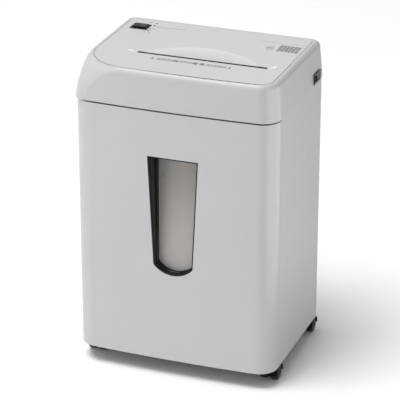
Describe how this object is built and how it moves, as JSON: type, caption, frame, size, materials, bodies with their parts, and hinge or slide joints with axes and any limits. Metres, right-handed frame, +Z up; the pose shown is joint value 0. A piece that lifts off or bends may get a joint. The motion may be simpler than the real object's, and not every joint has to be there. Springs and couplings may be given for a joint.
{
  "type": "paper shredder",
  "caption": "Free-standing office paper shredder with a top feed slot, rocker switches, geared cutters, a pull-out waste bin with a smoked grip window, and twin-wheel casters.",
  "frame": {"origin": "on the floor, at the middle of the footprint", "axes": "+Z up, front with the bin window towards -Y, +X to the right of someone facing the front"},
  "size_m": [0.3509, 0.257, 0.5366],
  "materials": {
    "housing": "fine moulded texture, warm light grey",
    "panel": "fine moulded texture, light grey",
    "label": "printed film",
    "lens": "clear diffusing lens",
    "black_plastic": "semi-gloss moulded black",
    "frame_plastic": "ribbed grey moulding",
    "socket_plastic": "black nylon",
    "zinc_steel": "zinc-plated sheet",
    "bronze": "sintered bronze",
    "comb_plastic": "glass-filled nylon",
    "cutter_steel": "ground hardened steel, oiled",
    "gear_steel": "cut steel, greased",
    "gear_nylon": "natural nylon",
    "motor_case": "black enamel",
    "board": "solder mask",
    "components": "moulded cases",
    "smoked": "smoked transparent, polished",
    "bin_plastic": "dark grey moulding",
    "caster_plastic": "black nylon",
    "caster_tyre": "hard black tread"
  },
  "bodies": {
    "cabinet": {"cabinet_shell": "housing", "base_plate": "frame_plastic", "caster_sockets": "socket_plastic", "rail_left": "frame_plastic", "rail_right": "frame_plastic", "front_crossbar": "zinc_steel", "head_cover": "housing", "top_panel": "panel", "paper_throat": "black_plastic", "instruction_label": "label", "indicator_lenses": "lens", "mode_switch_housing": "black_plastic", "power_switch_housing": "black_plastic", "chassis_plate": "zinc_steel", "side_plate_left": "zinc_steel", "side_plate_right": "zinc_steel", "cutter_bushes": "bronze", "tie_rods": "zinc_steel", "stripper_front": "comb_plastic", "stripper_rear": "comb_plastic", "motor_body": "motor_case", "motor_saddle": "zinc_steel", "intermediate_axle": "cutter_steel", "control_board": "board", "board_components": "components", "board_standoffs": "zinc_steel", "sensor_bracket": "black_plastic", "interlock_switch": "black_plastic", "power_inlet": "black_plastic", "back_screws": "zinc_steel"},
    "drawer": {"front_panel": "housing", "window_tray": "smoked", "waste_bin": "bin_plastic", "drawer_spacers": "frame_plastic"},
    "mode_rocker": {"mode_rocker": "black_plastic"},
    "power_rocker": {"power_rocker": "black_plastic"},
    "rear_cutter": {"cutter_rear": "cutter_steel", "sync_gear_rear": "gear_steel", "drive_gear": "gear_steel"},
    "front_cutter": {"cutter_front": "cutter_steel", "sync_gear_front": "gear_steel"},
    "intermediate": {"intermediate_gear": "gear_nylon"},
    "rotor": {"motor_shaft": "cutter_steel", "motor_pinion": "gear_steel", "motor_fan": "black_plastic"},
    "plunger": {"interlock_plunger": "black_plastic"},
    "sensor": {"sensor_flag": "black_plastic"},
    "swivel_front_left": {"caster_yoke_front_left": "caster_plastic"},
    "wheels_front_left": {"caster_wheels_front_left": "caster_tyre"},
    "swivel_front_right": {"caster_yoke_front_right": "caster_plastic"},
    "wheels_front_right": {"caster_wheels_front_right": "caster_tyre"},
    "swivel_rear_left": {"caster_yoke_rear_left": "caster_plastic"},
    "wheels_rear_left": {"caster_wheels_rear_left": "caster_tyre"},
    "swivel_rear_right": {"caster_yoke_rear_right": "caster_plastic"},
    "wheels_rear_right": {"caster_wheels_rear_right": "caster_tyre"}
  },
  "joints": [
    {"name": "drawer_slide", "type": "slide", "parent": "cabinet", "child": "drawer", "axis": [0, -1, 0], "range_m": [0, 0.24]},
    {"name": "mode_rocker_tilt", "type": "hinge", "parent": "cabinet", "child": "mode_rocker", "pos_m": [-0.1305, 0.0685, 0.525], "axis": [1, 0, 0], "range_deg": [-8, 8]},
    {"name": "power_rocker_tilt", "type": "hinge", "parent": "cabinet", "child": "power_rocker", "pos_m": [0.167, 0.082, 0.479], "axis": [0, 0, 1], "range_deg": [-12, 0]},
    {"name": "rear_cutter_spin", "type": "hinge", "parent": "cabinet", "child": "rear_cutter", "pos_m": [0, -0.028, 0.482], "axis": [1, 0, 0], "continuous": true},
    {"name": "front_cutter_spin", "type": "hinge", "parent": "cabinet", "child": "front_cutter", "pos_m": [0, -0.062, 0.482], "axis": [1, 0, 0], "continuous": true},
    {"name": "intermediate_spin", "type": "hinge", "parent": "cabinet", "child": "intermediate", "pos_m": [0, 0.00575, 0.482], "axis": [1, 0, 0], "continuous": true},
    {"name": "rotor_spin", "type": "hinge", "parent": "cabinet", "child": "rotor", "pos_m": [0, 0.03018, 0.49089], "axis": [1, 0, 0], "continuous": true},
    {"name": "plunger_travel", "type": "slide", "parent": "cabinet", "child": "plunger", "axis": [0, 1, 0], "range_m": [0, 0.003], "stiffness_N_per_m": 200},
    {"name": "sensor_swing", "type": "hinge", "parent": "cabinet", "child": "sensor", "pos_m": [0.112, -0.035, 0.5115], "axis": [1, 0, 0], "range_deg": [0, 30], "stiffness_Nm_per_rad": 0.004},
    {"name": "swivel_front_left_turn", "type": "hinge", "parent": "cabinet", "child": "swivel_front_left", "pos_m": [-0.154, -0.084, 0.0375], "axis": [0, 0, 1], "continuous": true},
    {"name": "wheels_front_left_roll", "type": "hinge", "parent": "swivel_front_left", "child": "wheels_front_left", "pos_m": [-0.154, -0.076, 0.013], "axis": [1, 0, 0], "continuous": true},
    {"name": "swivel_front_right_turn", "type": "hinge", "parent": "cabinet", "child": "swivel_front_right", "pos_m": [0.154, -0.084, 0.0375], "axis": [0, 0, 1], "continuous": true},
    {"name": "wheels_front_right_roll", "type": "hinge", "parent": "swivel_front_right", "child": "wheels_front_right", "pos_m": [0.154, -0.076, 0.013], "axis": [1, 0, 0], "continuous": true},
    {"name": "swivel_rear_left_turn", "type": "hinge", "parent": "cabinet", "child": "swivel_rear_left", "pos_m": [-0.154, 0.102, 0.0375], "axis": [0, 0, 1], "continuous": true},
    {"name": "wheels_rear_left_roll", "type": "hinge", "parent": "swivel_rear_left", "child": "wheels_rear_left", "pos_m": [-0.154, 0.11, 0.013], "axis": [1, 0, 0], "continuous": true},
    {"name": "swivel_rear_right_turn", "type": "hinge", "parent": "cabinet", "child": "swivel_rear_right", "pos_m": [0.154, 0.102, 0.0375], "axis": [0, 0, 1], "continuous": true},
    {"name": "wheels_rear_right_roll", "type": "hinge", "parent": "swivel_rear_right", "child": "wheels_rear_right", "pos_m": [0.154, 0.11, 0.013], "axis": [1, 0, 0], "continuous": true}
  ],
  "couplings": [
    {"joint": "rear_cutter_spin", "follows": "rotor_spin", "ratio": 0.15},
    {"joint": "front_cutter_spin", "follows": "rotor_spin", "ratio": -0.15},
    {"joint": "intermediate_spin", "follows": "rotor_spin", "ratio": -0.3}
  ]
}
